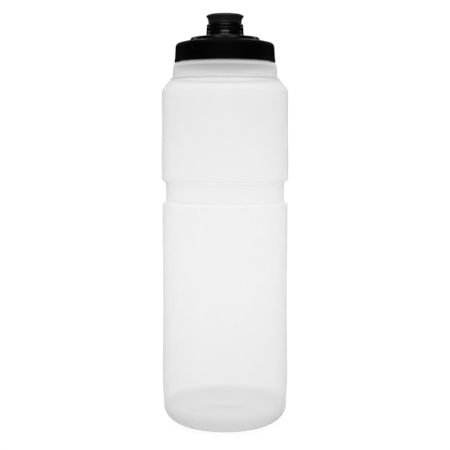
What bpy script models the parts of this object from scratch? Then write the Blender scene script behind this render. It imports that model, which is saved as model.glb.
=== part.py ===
"""A push-pull sports bottle for a bicycle, closed, standing on its base.

The bottle's axis is +Z and its resting ring lies in the plane Z = 0. Radii and heights below are in
millimetres, measured from that axis and that plane, with the cap screwed on and the spout pushed in.
"""

import math

import bmesh
import bpy
from mathutils import Vector

MM = 0.001
SEGMENTS = 36  # facets round the bottle, the cap and the valve
SEAL_SECTION_SEGMENTS = 6
GAP = 0.3  # left between two pieces that touch in the real bottle

# ---- bottle: outside ----
BARREL_R = 37.0  # the 74 mm barrel that a bottle cage is made for
LOWER_BULGE = 0.4  # how far the moulding swells above the heel
LOWER_BULGE_Z = 26.0
LOWER_WAIST = 0.15  # how far it draws in halfway up the lower barrel
LOWER_WAIST_Z = 76.0
UPPER_BULGE = 0.34  # how far it swells above the grip groove
UPPER_BULGE_Z = 154.0
UPPER_STRAIGHT_Z = 175.0
RING_INNER_R = 23.4
RING_OUTER_R = 25.2
HEEL_TOP_R = 36.7
HEEL_HEIGHT = 10.5
PUSH_UP_HEIGHT = 4.6
PUSH_UP_CROWN = 1.4  # rise of the push-up's middle over its rim
PUSH_UP_RIM_R = 17.0
PUSH_UP_FOOT = (21.0, 1.3)  # where its cone turns down to the resting ring
LOWER_STRAIGHT_Z = 128.5
LOWER_BARREL_TOP = 130.5
GROOVE_BOTTOM = 132.1
GROOVE_TOP = 142.8
GROOVE_R = 34.85
GROOVE_DRAFT = 0.1
UPPER_BARREL_BOTTOM = 145.9
UPPER_CORNER_SIZE = (1.8, 2.1)
SHOULDER_BOTTOM = 195.1
SHOULDER_BEND_R = 5.6
SHOULDER_SLOPE = 39  # degrees from upright
SHOULDER_TOP = 203.5
SHOULDER_TOP_R = 31.8
NECK_PINCH_Z = 204.3
NECK_PINCH_R = 30.45
NECK_BEAD_R = 30.7
NECK_BEAD_BOTTOM = 205.2
NECK_BEAD_TOP = 208.5
NECK_BEAD_TAPER = 0.2
NECK_BEAD_CORNER = (29.0, 210.2)  # centre of the bead's rounded upper corner
NECK_BEAD_CORNER_SIZE = (1.35, 2.75)

# ---- bottle: walls and threaded finish ----
WALL = 1.2
BASE_WALL = 1.6
NECK_R = 25.9
NECK_BORE_R = 24.4
NECK_FOOT = 213.9
NECK_FOOT_FILLET = 0.9
RIM_Z = 221.2
RIM_EDGE = 0.2
INNER_EASE = 0.5  # how much further the blown inside runs past a corner of the outside
FLOOR_SLOPE = (2.9, 1.8)  # run and rise of the floor from the resting ring to the push-up

# ---- screw thread, right-handed, one start ----
THREAD_PITCH = 4.5
THREAD_TURNS = 1.05
THREAD_ROOT_WIDTH = 1.6
THREAD_CREST_WIDTH = 0.8
THREAD_ROOT_DEPTH = 0.6  # how far a ridge's foot is sunk in its wall
THREAD_RUN_OUT_TURNS = 0.1
THREAD_END_RISE = 0.1  # share of its height that a ridge keeps at its very ends
BOTTLE_THREAD_R = 27.0
BOTTLE_THREAD_START = 215.5
CAP_THREAD_R = 26.3
CAP_THREAD_START_TURN = 0.45
CAP_THREAD_START = BOTTLE_THREAD_START + THREAD_PITCH * (CAP_THREAD_START_TURN - 0.5)  # midway between turns

# ---- screw cap ----
SKIRT_BOTTOM = 213.3
SKIRT_BOTTOM_R = 29.6
SKIRT_TOP_R = 28.9
SKIRT_BORE_R = 27.4
SKIRT_LEAD_IN = 0.8
SKIRT_EDGE = (0.1, 0.2)
SKIRT_BEND = (29.25, 215.7)  # where the flared foot of the skirt ends
CAP_CORNER_R = 2.75
CAP_CORNER_Z = 221.7
CAP_CEILING = 223.0
CAP_SEAT_Z = 225.25
CAP_DOME_BEND = (24.0, 225.05)
CAP_DOME_TOP = 225.6
CAP_SEAT_R = 20.85
CAP_HOLE_R = 11.6

# ---- gasket between the rim and the cap's ceiling ----
GASKET_INNER_R = 24.3
GASKET_OUTER_R = 27.0
GASKET_EDGE = 0.2

# ---- valve base: disc, tower, snap-in spigot, spokes and stopper pin ----
DISC_R = 20.5
DISC_TOP_R = 19.7
DISC_BOTTOM = CAP_SEAT_Z + GAP
DISC_TOP = 227.4
DISC_TOP_EDGE = (0.5, 0.25)
DISC_LIP_TOP = 225.9  # the upright rim under the disc's cone
DISC_EDGE = 0.1
TOWER_R = 10.8
TOWER_FOOT_R = 10.93
TOWER_STEP_TOP = 231.1  # a soft step joins the tower to its slightly wider foot
TOWER_STEP_BOTTOM = 229.8
TOWER_TOP = 233.2
TOWER_EDGE = 0.35
TOWER_FOOT_FILLET = 1.9
TOWER_BORE_R = 9.5
TOWER_LIP_R = 9.0
TOWER_LIP_BOTTOM = 231.6
TOWER_LIP_LEAD_IN = 0.5
SPIGOT_R = 11.2
SPIGOT_BOTTOM = 218.0
SNAP_BEAD_R = 12.2
SNAP_BEAD_TOP = CAP_CEILING - GAP
SNAP_BEAD_HEIGHT = 2.3
SNAP_BEAD_LAND = 0.8
SPOKE_COUNT = 3
SPOKE_BOTTOM = 218.3
SPOKE_WIDTH = 2.0
SPOKE_HEIGHT = 1.6
SPOKE_OUTER_R = 10.3
PIN_R = 2.4
PIN_FOOT_R = 3.4
PIN_FOOT_TOP = 221.2
PIN_HEAD_CONE = 0.9
PIN_CROWN = 1.1
PIN_HEAD_R = 3.3
PIN_HEAD_BOTTOM = 238.3
PIN_TOP = 240.7

# ---- O-ring between the disc and the cap ----
BASE_SEAL_R = 15.0
BASE_SEAL_SECTION_R = 0.55
BASE_SEAL_GROOVE_HALF_WIDTH = 0.8
BASE_SEAL_GROOVE_DEPTH = 0.6

# ---- spout slider ----
STEM_R = 8.7
STEM_BOTTOM = 220.7
STEM_BORE_R = 5.6
STEM_EDGE = 0.3
STOP_BEAD_R = 9.2
STOP_BEAD_TOP = 225.6
STOP_BEAD_HEIGHT = 1.4
STOP_BEAD_SLOPE = 0.3
COLLAR_R = 10.65
COLLAR_BOTTOM = TOWER_TOP + GAP
COLLAR_TOP = 235.15
COLLAR_EDGE = 0.75
NIPPLE_R = 7.6
NIPPLE_TOP = 239.3
NIPPLE_EDGE = 0.2
NIPPLE_LIP_R = 4.4
NIPPLE_LIP_HEIGHT = 0.9
NIPPLE_LIP_LAND = 0.4

# ---- O-ring on the slider's stem ----
SPOUT_SEAL_Z = 222.6
SPOUT_SEAL_R = 8.6
SPOUT_SEAL_SECTION_R = 0.55
SPOUT_SEAL_GROOVE_R = 7.8
SPOUT_SEAL_GROOVE_HALF_WIDTH = 0.75

# ---- soft mouthpiece ----
MOUTHPIECE_BOTTOM = COLLAR_TOP + GAP
MOUTHPIECE_FOOT_R = 9.8
MOUTHPIECE_WAIST_R = 9.7
MOUTHPIECE_WAIST_Z = 236.2
MOUTHPIECE_LIP_R = 11.0
MOUTHPIECE_LIP_Z = 239.45
MOUTHPIECE_TOP = 240.9
MOUTHPIECE_TOP_R = 8.0
MOUTHPIECE_BORE_R = NIPPLE_R + GAP
MOUTHPIECE_CEILING = NIPPLE_TOP + 0.4
OUTLET_R = 3.6
OUTLET_TOP = 240.3
DISH_EDGE = (5.2, 240.8)  # where the flat top starts to dip towards the outlet
DISH_FOOT = (4.0, 240.55)


def clear_scene():
    for old in list(bpy.data.objects):
        bpy.data.objects.remove(old, do_unlink=True)


def plastic(name, colour, roughness):
    """A plain moulded-plastic or rubber material."""
    material = bpy.data.materials.new(name)
    material.use_nodes = True
    shader = material.node_tree.nodes["Principled BSDF"]
    shader.inputs["Base Color"].default_value = (*colour, 1.0)
    shader.inputs["Roughness"].default_value = roughness
    shader.inputs["Metallic"].default_value = 0.0
    material.diffuse_color = (*colour, 1.0)
    return material


def arc(centre, radii, start, end, steps):
    """Points on an elliptical arc, from start to end degrees, both ends included."""
    angles = [math.radians(start + (end - start) * step / steps) for step in range(steps + 1)]
    return [(centre[0] + radii[0] * math.cos(a), centre[1] + radii[1] * math.sin(a)) for a in angles]


def eased(start, end, steps):
    """Points from start to end along half a cosine wave, upright at both ends."""
    points = []
    for step in range(1, steps + 1):
        share = step / steps
        weight = (1 - math.cos(math.pi * share)) / 2
        points.append((start[0] + (end[0] - start[0]) * weight, start[1] + (end[1] - start[1]) * share))
    return points


def flare(start, end, steps):
    """Points from an upright start that bend outwards ever faster towards the end."""
    points = []
    for step in range(1, steps + 1):
        share = step / steps
        radius = start[0] + (end[0] - start[0]) * share**2.5
        points.append((radius, start[1] + (end[1] - start[1]) * share))
    return points


def place(piece, height, parent):
    """Put a piece's origin on the bottle's axis at this height, under its joint's empty."""
    parent_height = parent.location.z if parent else 0.0
    piece.parent = parent
    piece.location = (0.0, 0.0, height * MM - parent_height)
    return piece


def joint_empty(name, height, parent=None):
    """An empty on the bottle's axis, which carries the pieces that move together."""
    empty = bpy.data.objects.new(name, None)
    empty.empty_display_size = 10 * MM
    bpy.context.collection.objects.link(empty)
    empty.parent = parent
    empty.location = (0.0, 0.0, height * MM - (parent.location.z if parent else 0.0))
    return empty


def object_from(bm, name, material):
    """Close a bmesh into a smooth-shaded object with its faces pointing out."""
    bmesh.ops.remove_doubles(bm, verts=bm.verts, dist=0.001 * MM)
    bmesh.ops.recalc_face_normals(bm, faces=bm.faces)
    mesh = bpy.data.meshes.new(name)
    bm.to_mesh(mesh)
    bm.free()
    mesh.materials.append(material)
    mesh.shade_smooth()
    mesh.set_sharp_from_angle(angle=math.radians(35))
    piece = bpy.data.objects.new(name, mesh)
    bpy.context.collection.objects.link(piece)
    return piece


def turned(name, outline, base, material):
    """Spin an outline of (radius, height) points round Z; its heights are counted from base.

    An outline that starts or ends off the axis is closed into a ring.
    """
    bm = bmesh.new()
    verts = [bm.verts.new((r * MM, 0.0, (z - base) * MM)) for r, z in outline]
    edges = [bm.edges.new(pair) for pair in zip(verts, verts[1:])]
    if outline[0][0] > 0 or outline[-1][0] > 0:
        edges.append(bm.edges.new((verts[-1], verts[0])))
    bmesh.ops.spin(
        bm, geom=verts + edges, cent=(0, 0, 0), axis=(0, 0, 1), angle=math.tau, steps=SEGMENTS, use_merge=True
    )
    return object_from(bm, name, material)


def seal_ring(name, radius, section_radius, height, base, material):
    """An O-ring."""
    section = arc((radius, height), (section_radius, section_radius), 0, 360, SEAL_SECTION_SEGMENTS)
    return turned(name, section[:-1], base, material)


def thread_ridge(name, root_r, crest_r, start, start_turn, base, material):
    """A right-hand helical ridge of trapezoidal section that runs out into its wall at both ends."""
    steps = round(THREAD_TURNS * SEGMENTS)
    first = round(start_turn * SEGMENTS)
    bm = bmesh.new()
    rings = []
    for step in range(steps + 1):
        turn = step / SEGMENTS
        angle = math.tau * (first + step) / SEGMENTS
        run_out = min(turn, steps / SEGMENTS - turn) / THREAD_RUN_OUT_TURNS
        rise = THREAD_END_RISE + (1 - THREAD_END_RISE) * min(1.0, run_out)
        middle = start - base + THREAD_PITCH * turn
        top_r = root_r + (crest_r - root_r) * rise
        section = (
            (root_r, middle - THREAD_ROOT_WIDTH / 2),
            (top_r, middle - THREAD_CREST_WIDTH / 2),
            (top_r, middle + THREAD_CREST_WIDTH / 2),
            (root_r, middle + THREAD_ROOT_WIDTH / 2),
        )
        rings.append(
            [bm.verts.new((r * MM * math.cos(angle), r * MM * math.sin(angle), z * MM)) for r, z in section]
        )
    for ring, following in zip(rings, rings[1:]):
        for corner in range(4):
            after = (corner + 1) % 4
            bm.faces.new((ring[corner], ring[after], following[after], following[corner]))
    bm.faces.new(rings[0])
    bm.faces.new(rings[-1])
    return object_from(bm, name, material)


def join(piece, addition):
    """Weld an addition on to a piece with a Boolean union, and keep the addition as a hidden guide."""
    addition.hide_render = True
    addition.display_type = "WIRE"
    union = piece.modifiers.new(addition.name, "BOOLEAN")
    union.operation = "UNION"
    union.solver = "EXACT"
    union.object = addition


def bottle_outside():
    """Outline from the middle of the base, round the heel and up to the rim."""
    outline = arc((0.0, PUSH_UP_HEIGHT - PUSH_UP_CROWN), (PUSH_UP_RIM_R, PUSH_UP_CROWN), 90, 0, 2)
    outline += [PUSH_UP_FOOT, (RING_INNER_R, 0.0), (RING_OUTER_R, 0.0)]
    heel_size = (HEEL_TOP_R - RING_OUTER_R, HEEL_HEIGHT)
    outline += arc((RING_OUTER_R, HEEL_HEIGHT), heel_size, -80, 0, 6)
    bulge = (BARREL_R + LOWER_BULGE, LOWER_BULGE_Z)
    outline += eased((HEEL_TOP_R, HEEL_HEIGHT), bulge, 3)
    outline += eased(bulge, (BARREL_R - LOWER_WAIST, LOWER_WAIST_Z), 3)
    outline += [(BARREL_R, LOWER_STRAIGHT_Z), (BARREL_R, LOWER_BARREL_TOP)]
    outline += [(GROOVE_R - GROOVE_DRAFT, GROOVE_BOTTOM), (GROOVE_R + GROOVE_DRAFT, GROOVE_TOP)]
    bulge = (BARREL_R + UPPER_BULGE, UPPER_BULGE_Z)
    corner = (bulge[0] - UPPER_CORNER_SIZE[0], UPPER_BARREL_BOTTOM)
    outline += arc(corner, UPPER_CORNER_SIZE, -65, 0, 3)
    outline += [bulge] + eased(bulge, (BARREL_R, UPPER_STRAIGHT_Z), 2)
    bend = (BARREL_R - SHOULDER_BEND_R, SHOULDER_BOTTOM)
    outline += arc(bend, (SHOULDER_BEND_R, SHOULDER_BEND_R), 0, SHOULDER_SLOPE, 3)
    outline += [(SHOULDER_TOP_R, SHOULDER_TOP), (NECK_PINCH_R, NECK_PINCH_Z)]
    outline += [(NECK_BEAD_R, NECK_BEAD_BOTTOM), (NECK_BEAD_R - NECK_BEAD_TAPER, NECK_BEAD_TOP)]
    outline += arc(NECK_BEAD_CORNER, NECK_BEAD_CORNER_SIZE, 10, 90, 3)
    outline += [(NECK_R + NECK_FOOT_FILLET, NECK_FOOT - NECK_FOOT_FILLET), (NECK_R, NECK_FOOT)]
    outline += [(NECK_R, RIM_Z - RIM_EDGE), (NECK_R - RIM_EDGE, RIM_Z)]
    return outline


def bottle_inside():
    """Outline from the rim, down the inside of the walls and to the middle of the floor."""
    outline = [(NECK_BORE_R + RIM_EDGE, RIM_Z), (NECK_BORE_R, RIM_Z - RIM_EDGE)]
    outline += [(NECK_BORE_R, NECK_FOOT - INNER_EASE)]
    outline += [(NECK_BEAD_CORNER[0] - INNER_EASE, NECK_BEAD_CORNER[1] + WALL)]
    outline += [(NECK_BEAD_R - WALL - NECK_BEAD_TAPER, NECK_BEAD_TOP + 2 * INNER_EASE)]
    outline += [(NECK_PINCH_R - WALL, NECK_PINCH_Z)]
    outline += [(SHOULDER_TOP_R - WALL + NECK_BEAD_TAPER, SHOULDER_TOP - WALL)]
    bend = (BARREL_R - SHOULDER_BEND_R, SHOULDER_BOTTOM)
    outline += arc(bend, (SHOULDER_BEND_R - WALL,) * 2, SHOULDER_SLOPE, 0, 2)
    bulge_r = BARREL_R + UPPER_BULGE - WALL
    outline += [(BARREL_R - WALL, UPPER_STRAIGHT_Z), (bulge_r, UPPER_BULGE_Z)]
    outline += [(bulge_r, UPPER_BARREL_BOTTOM + INNER_EASE)]
    outline += [(GROOVE_R - WALL, GROOVE_TOP + INNER_EASE), (GROOVE_R - WALL, GROOVE_BOTTOM - INNER_EASE)]
    outline += [(BARREL_R - WALL, LOWER_BARREL_TOP - 2 * INNER_EASE)]
    outline += [(BARREL_R - LOWER_WAIST - WALL, LOWER_WAIST_Z)]
    outline += [(BARREL_R + LOWER_BULGE - WALL, LOWER_BULGE_Z)]
    heel_size = (HEEL_TOP_R - WALL - RING_OUTER_R, HEEL_HEIGHT - BASE_WALL)
    outline += arc((RING_OUTER_R, HEEL_HEIGHT), heel_size, 0, -90, 5)
    outline += [(RING_INNER_R, BASE_WALL), (RING_INNER_R - FLOOR_SLOPE[0], BASE_WALL + FLOOR_SLOPE[1])]
    outline += [(PUSH_UP_RIM_R - 2 * INNER_EASE, PUSH_UP_HEIGHT)]
    outline += [(0.0, PUSH_UP_HEIGHT + BASE_WALL)]
    return outline


def make_bottle_body():
    """Blow-moulded bottle: base, barrel, grip groove, shoulder, neck bead and threaded finish."""
    frosted = plastic("frosted_plastic", (0.85, 0.86, 0.86), 0.45)
    body = turned("bottle_body", bottle_outside() + bottle_inside(), 0.0, frosted)
    root_r = NECK_R - THREAD_ROOT_DEPTH
    ridge = thread_ridge("bottle_thread", root_r, BOTTLE_THREAD_R, BOTTLE_THREAD_START, 0.0, 0.0, frosted)
    join(body, ridge)
    return body


def cap_outline():
    """Skirt, corner, dome, disc seat, seal groove, centre hole, ceiling and bore of the cap."""
    corner_x = SKIRT_TOP_R - CAP_CORNER_R
    outline = [(SKIRT_BORE_R + SKIRT_LEAD_IN, SKIRT_BOTTOM), (SKIRT_BOTTOM_R - SKIRT_EDGE[0], SKIRT_BOTTOM)]
    outline += [(SKIRT_BOTTOM_R, SKIRT_BOTTOM + SKIRT_EDGE[1]), SKIRT_BEND]
    outline += arc((corner_x, CAP_CORNER_Z), (CAP_CORNER_R, CAP_CORNER_R), 0, 80, 5)
    outline += [CAP_DOME_BEND, (CAP_SEAT_R, CAP_DOME_TOP), (CAP_SEAT_R, CAP_SEAT_Z)]
    groove_outer = BASE_SEAL_R + BASE_SEAL_GROOVE_HALF_WIDTH
    groove_inner = BASE_SEAL_R - BASE_SEAL_GROOVE_HALF_WIDTH
    groove_floor = CAP_SEAT_Z - BASE_SEAL_GROOVE_DEPTH
    outline += [(groove_outer, CAP_SEAT_Z), (groove_outer, groove_floor)]
    outline += [(groove_inner, groove_floor), (groove_inner, CAP_SEAT_Z)]
    outline += [(CAP_HOLE_R, CAP_SEAT_Z), (CAP_HOLE_R, CAP_CEILING), (SKIRT_BORE_R, CAP_CEILING)]
    outline += [(SKIRT_BORE_R, SKIRT_BOTTOM + SKIRT_LEAD_IN)]
    return outline


def make_screw_cap(cap_joint):
    """Screw cap with an internal thread and the hole that the valve base snaps into."""
    black = plastic("cap_black", (0.012, 0.012, 0.013), 0.32)
    cap = turned("screw_cap", cap_outline(), SKIRT_BOTTOM, black)
    root_r = SKIRT_BORE_R + THREAD_ROOT_DEPTH
    ridge = thread_ridge(
        "cap_thread", root_r, CAP_THREAD_R, CAP_THREAD_START, CAP_THREAD_START_TURN, SKIRT_BOTTOM, black
    )
    join(cap, place(ridge, SKIRT_BOTTOM, cap_joint))
    return place(cap, SKIRT_BOTTOM, cap_joint)


def make_cap_gasket(cap_joint):
    """Flat soft ring that the cap presses on the bottle's rim."""
    rubber = plastic("seal_rubber", (0.03, 0.03, 0.032), 0.7)
    bottom = RIM_Z + GAP
    top = CAP_CEILING - GAP
    outline = [(GASKET_INNER_R, bottom + GASKET_EDGE), (GASKET_INNER_R + GASKET_EDGE, bottom)]
    outline += [(GASKET_OUTER_R - GASKET_EDGE, bottom), (GASKET_OUTER_R, bottom + GASKET_EDGE)]
    outline += [(GASKET_OUTER_R, top - GASKET_EDGE), (GASKET_OUTER_R - GASKET_EDGE, top)]
    outline += [(GASKET_INNER_R + GASKET_EDGE, top), (GASKET_INNER_R, top - GASKET_EDGE)]
    return place(turned("cap_gasket", outline, bottom, rubber), bottom, cap_joint)


def valve_base_outline():
    """Tower, foot fillet, disc, seal groove, snap-in spigot and the bore that the slider runs in."""
    outline = [(TOWER_LIP_R, TOWER_TOP), (TOWER_R - TOWER_EDGE, TOWER_TOP), (TOWER_R, TOWER_TOP - TOWER_EDGE)]
    outline += [(TOWER_R, TOWER_STEP_TOP)]
    outline += eased((TOWER_R, TOWER_STEP_TOP), (TOWER_FOOT_R, TOWER_STEP_BOTTOM), 3)
    fillet_x = TOWER_FOOT_R + TOWER_FOOT_FILLET
    outline += arc((fillet_x, DISC_TOP + TOWER_FOOT_FILLET), (TOWER_FOOT_FILLET,) * 2, 180, 270, 3)
    top_edge = DISC_TOP_R + DISC_EDGE
    outline += [(top_edge - DISC_TOP_EDGE[0], DISC_TOP), (top_edge, DISC_TOP - DISC_TOP_EDGE[1])]
    outline += [(DISC_R, DISC_LIP_TOP), (DISC_R, DISC_BOTTOM + DISC_EDGE), (DISC_R - DISC_EDGE, DISC_BOTTOM)]
    groove_outer = BASE_SEAL_R + BASE_SEAL_GROOVE_HALF_WIDTH
    groove_inner = BASE_SEAL_R - BASE_SEAL_GROOVE_HALF_WIDTH
    groove_top = DISC_BOTTOM + BASE_SEAL_GROOVE_DEPTH
    outline += [(groove_outer, DISC_BOTTOM), (groove_outer, groove_top)]
    outline += [(groove_inner, groove_top), (groove_inner, DISC_BOTTOM)]
    outline += [(SPIGOT_R, DISC_BOTTOM), (SPIGOT_R, SNAP_BEAD_TOP), (SNAP_BEAD_R, SNAP_BEAD_TOP)]
    outline += [(SNAP_BEAD_R, SNAP_BEAD_TOP - SNAP_BEAD_LAND), (SPIGOT_R, SNAP_BEAD_TOP - SNAP_BEAD_HEIGHT)]
    outline += [(SPIGOT_R, SPIGOT_BOTTOM), (TOWER_BORE_R, SPIGOT_BOTTOM), (TOWER_BORE_R, TOWER_LIP_BOTTOM)]
    outline += [(TOWER_LIP_R, TOWER_LIP_BOTTOM + TOWER_LIP_LEAD_IN)]
    return outline


def make_stopper_pin(material):
    """Pin on the bottle's axis whose round head closes the mouthpiece's outlet."""
    outline = [(0.0, SPIGOT_BOTTOM), (PIN_FOOT_R, SPIGOT_BOTTOM), (PIN_FOOT_R, SPIGOT_BOTTOM + SPOKE_HEIGHT)]
    outline += [(PIN_R, PIN_FOOT_TOP), (PIN_R, PIN_HEAD_BOTTOM - PIN_HEAD_CONE)]
    outline += [(PIN_HEAD_R, PIN_HEAD_BOTTOM)]
    outline += arc((0.0, PIN_TOP - PIN_CROWN), (PIN_HEAD_R, PIN_CROWN), 0, 90, 4)[:-1]
    outline += [(0.0, PIN_TOP)]
    return turned("stopper_pin", outline, DISC_BOTTOM, material)


def make_spoke(number, material):
    """A flat bar from the pin's foot into the wall of the guide tube."""
    bm = bmesh.new()
    bmesh.ops.create_cube(bm, size=1.0)
    size = Vector((SPOKE_OUTER_R - PIN_R, SPOKE_WIDTH, SPOKE_HEIGHT)) * MM
    bmesh.ops.scale(bm, vec=size, verts=bm.verts)
    middle = Vector(((SPOKE_OUTER_R + PIN_R) / 2, 0.0, SPOKE_BOTTOM + SPOKE_HEIGHT / 2 - DISC_BOTTOM)) * MM
    bmesh.ops.translate(bm, vec=middle, verts=bm.verts)
    spoke = object_from(bm, f"spoke_{number}", material)
    spoke.rotation_euler.z = math.tau * number / SPOKE_COUNT
    return spoke


def make_valve_base(cap_joint):
    """Disc, tower, spigot, spokes and stopper pin in one moulding."""
    black = plastic("valve_black", (0.014, 0.014, 0.015), 0.36)
    base = turned("valve_base", valve_base_outline(), DISC_BOTTOM, black)
    for number in range(SPOKE_COUNT):
        join(base, place(make_spoke(number, black), DISC_BOTTOM, cap_joint))
    join(base, place(make_stopper_pin(black), DISC_BOTTOM, cap_joint))
    return place(base, DISC_BOTTOM, cap_joint)


def make_valve_base_seal(cap_joint):
    """O-ring that makes the snapped-in valve base watertight."""
    rubber = plastic("base_seal_rubber", (0.02, 0.02, 0.02), 0.55)
    height = (CAP_SEAT_Z + DISC_BOTTOM) / 2
    ring = seal_ring("valve_base_seal", BASE_SEAL_R, BASE_SEAL_SECTION_R, height, height, rubber)
    return place(ring, height, cap_joint)


def slider_outline():
    """Nipple, collar, stem with its stop bead and seal groove, and the bore through it all."""
    outline = [(NIPPLE_LIP_R, NIPPLE_TOP), (NIPPLE_R - NIPPLE_EDGE, NIPPLE_TOP)]
    outline += [(NIPPLE_R, NIPPLE_TOP - NIPPLE_EDGE)]
    outline += [(NIPPLE_R, COLLAR_TOP)]
    outline += arc((COLLAR_R - COLLAR_EDGE, COLLAR_TOP - COLLAR_EDGE), (COLLAR_EDGE,) * 2, 90, 0, 3)
    outline += [(COLLAR_R, COLLAR_BOTTOM), (STEM_R, COLLAR_BOTTOM), (STEM_R, STOP_BEAD_TOP)]
    outline += [(STOP_BEAD_R, STOP_BEAD_TOP - STOP_BEAD_SLOPE)]
    outline += [(STOP_BEAD_R, STOP_BEAD_TOP - STOP_BEAD_HEIGHT + STOP_BEAD_SLOPE)]
    outline += [(STEM_R, STOP_BEAD_TOP - STOP_BEAD_HEIGHT)]
    groove_top = SPOUT_SEAL_Z + SPOUT_SEAL_GROOVE_HALF_WIDTH
    groove_bottom = SPOUT_SEAL_Z - SPOUT_SEAL_GROOVE_HALF_WIDTH
    outline += [(STEM_R, groove_top), (SPOUT_SEAL_GROOVE_R, groove_top)]
    outline += [(SPOUT_SEAL_GROOVE_R, groove_bottom), (STEM_R, groove_bottom)]
    outline += [(STEM_R, STEM_BOTTOM + STEM_EDGE), (STEM_R - STEM_EDGE, STEM_BOTTOM)]
    outline += [(STEM_BORE_R, STEM_BOTTOM), (STEM_BORE_R, NIPPLE_TOP - NIPPLE_LIP_HEIGHT)]
    outline += [(NIPPLE_LIP_R, NIPPLE_TOP - NIPPLE_LIP_LAND)]
    return outline


def make_spout_slider(spout_joint):
    """Hard core of the spout, which slides in the tower."""
    black = plastic("slider_black", (0.014, 0.014, 0.015), 0.3)
    return place(turned("spout_slider", slider_outline(), COLLAR_BOTTOM, black), COLLAR_BOTTOM, spout_joint)


def make_spout_o_ring(spout_joint):
    """O-ring that seals the slider in the tower's bore."""
    rubber = plastic("spout_seal_rubber", (0.02, 0.02, 0.02), 0.55)
    ring = seal_ring("spout_o_ring", SPOUT_SEAL_R, SPOUT_SEAL_SECTION_R, SPOUT_SEAL_Z, SPOUT_SEAL_Z, rubber)
    return place(ring, SPOUT_SEAL_Z, spout_joint)


def mouthpiece_outline():
    """Foot, waist, flared lip, dished top, outlet and the bore that fits over the nipple."""
    waist = (MOUTHPIECE_WAIST_R, MOUTHPIECE_WAIST_Z)
    outline = [(MOUTHPIECE_BORE_R, MOUTHPIECE_BOTTOM), (MOUTHPIECE_FOOT_R, MOUTHPIECE_BOTTOM), waist]
    outline += flare(waist, (MOUTHPIECE_LIP_R, MOUTHPIECE_LIP_Z), 5)
    crown = (MOUTHPIECE_LIP_R - MOUTHPIECE_TOP_R, MOUTHPIECE_TOP - MOUTHPIECE_LIP_Z)
    outline += arc((MOUTHPIECE_TOP_R, MOUTHPIECE_LIP_Z), crown, 0, 90, 4)[1:]
    outline += [DISH_EDGE, DISH_FOOT, (OUTLET_R, OUTLET_TOP)]
    outline += [(OUTLET_R, MOUTHPIECE_CEILING), (MOUTHPIECE_BORE_R, MOUTHPIECE_CEILING)]
    return outline


def make_mouthpiece(spout_joint):
    """Soft mouthpiece stretched over the slider's nipple."""
    soft = plastic("mouthpiece_grey", (0.03, 0.03, 0.031), 0.55)
    piece = turned("mouthpiece", mouthpiece_outline(), MOUTHPIECE_BOTTOM, soft)
    return place(piece, MOUTHPIECE_BOTTOM, spout_joint)


def main():
    clear_scene()
    make_bottle_body()
    cap_joint = joint_empty("cap_joint", SKIRT_BOTTOM)
    make_cap_gasket(cap_joint)
    make_screw_cap(cap_joint)
    make_valve_base(cap_joint)
    make_valve_base_seal(cap_joint)
    spout_joint = joint_empty("spout_joint", COLLAR_BOTTOM)
    make_spout_slider(spout_joint)
    make_spout_o_ring(spout_joint)
    make_mouthpiece(spout_joint)


main()
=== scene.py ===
"""Looks of a push-pull sports bottle for a bicycle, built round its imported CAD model."""

import math

import bmesh
import bpy
import numpy as np
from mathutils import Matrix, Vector


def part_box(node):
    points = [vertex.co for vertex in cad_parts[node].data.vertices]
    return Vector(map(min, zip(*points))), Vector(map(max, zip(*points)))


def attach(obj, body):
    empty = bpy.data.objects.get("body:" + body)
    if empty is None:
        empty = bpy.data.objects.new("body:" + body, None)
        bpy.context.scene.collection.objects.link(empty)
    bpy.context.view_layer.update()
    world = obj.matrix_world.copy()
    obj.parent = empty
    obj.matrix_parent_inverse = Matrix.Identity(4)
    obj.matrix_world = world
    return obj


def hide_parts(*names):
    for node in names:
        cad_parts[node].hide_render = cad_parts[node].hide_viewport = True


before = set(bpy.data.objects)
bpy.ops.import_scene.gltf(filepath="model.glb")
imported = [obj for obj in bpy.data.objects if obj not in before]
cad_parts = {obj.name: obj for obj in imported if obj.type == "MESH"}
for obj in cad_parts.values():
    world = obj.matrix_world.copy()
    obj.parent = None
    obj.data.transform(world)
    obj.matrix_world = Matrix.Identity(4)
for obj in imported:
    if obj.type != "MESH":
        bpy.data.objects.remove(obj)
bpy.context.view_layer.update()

MM = 0.001

# ---- viewpoint ----
EYE_DISTANCE = 0.589
EYE_HEIGHT = 0.1727
EYE_PITCH = -5.33  # degrees from level
LENS = 79.7
SENSOR_WIDTH = 36.0
CLIP_START = 0.01
CLIP_END = 100.0

# ---- studio ----
FLOOR_LEVEL = 1.03  # brightness of the backdrop and the floor, alike so that no horizon shows
FLOOR_WHITE = 0.10
FLOOR_GLOW = 0.892
FLOOR_REACH = 40.0
FLOOR_DROP = 0.00002
WORLD_LIGHT = 0.28
OVERHEAD_LIGHT = 3.6
OVERHEAD_SPREAD = 110  # degrees
BOX_DISTANCE = 1.0
BOX_TARGET = (0.0, 0.0, 0.225)
SOFTBOXES = {  # azimuth from the front and elevation in degrees, size, brightness
    "front_box": (0, 25, (0.8, 0.13), 4.2),
    "left_box": (-125, 22, (0.4, 0.3), 1.0),
    "right_box": (125, 22, (0.4, 0.3), 1.0),
    "back_box": (180, 25, (0.8, 0.16), 2.0),
    "top_box": (0, 89, (0.9, 0.9), 0.9),
}

# ---- fineness of the turned pieces ----
BODY_COLUMNS = 240
CAP_COLUMNS = 192
SMALL_COLUMNS = 128
RING_COLUMNS = 96
SHARP_ANGLE = 48  # degrees between faces, above which their edge stays sharp
ON_WALL = 1e-6  # mm from a wall's radius, within which a point belongs to that wall
SEAM_OFFSETS = (-0.6, -0.35, -0.2, 0.0, 0.2, 0.35, 0.6)  # mm along the wall from a mould parting line

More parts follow.
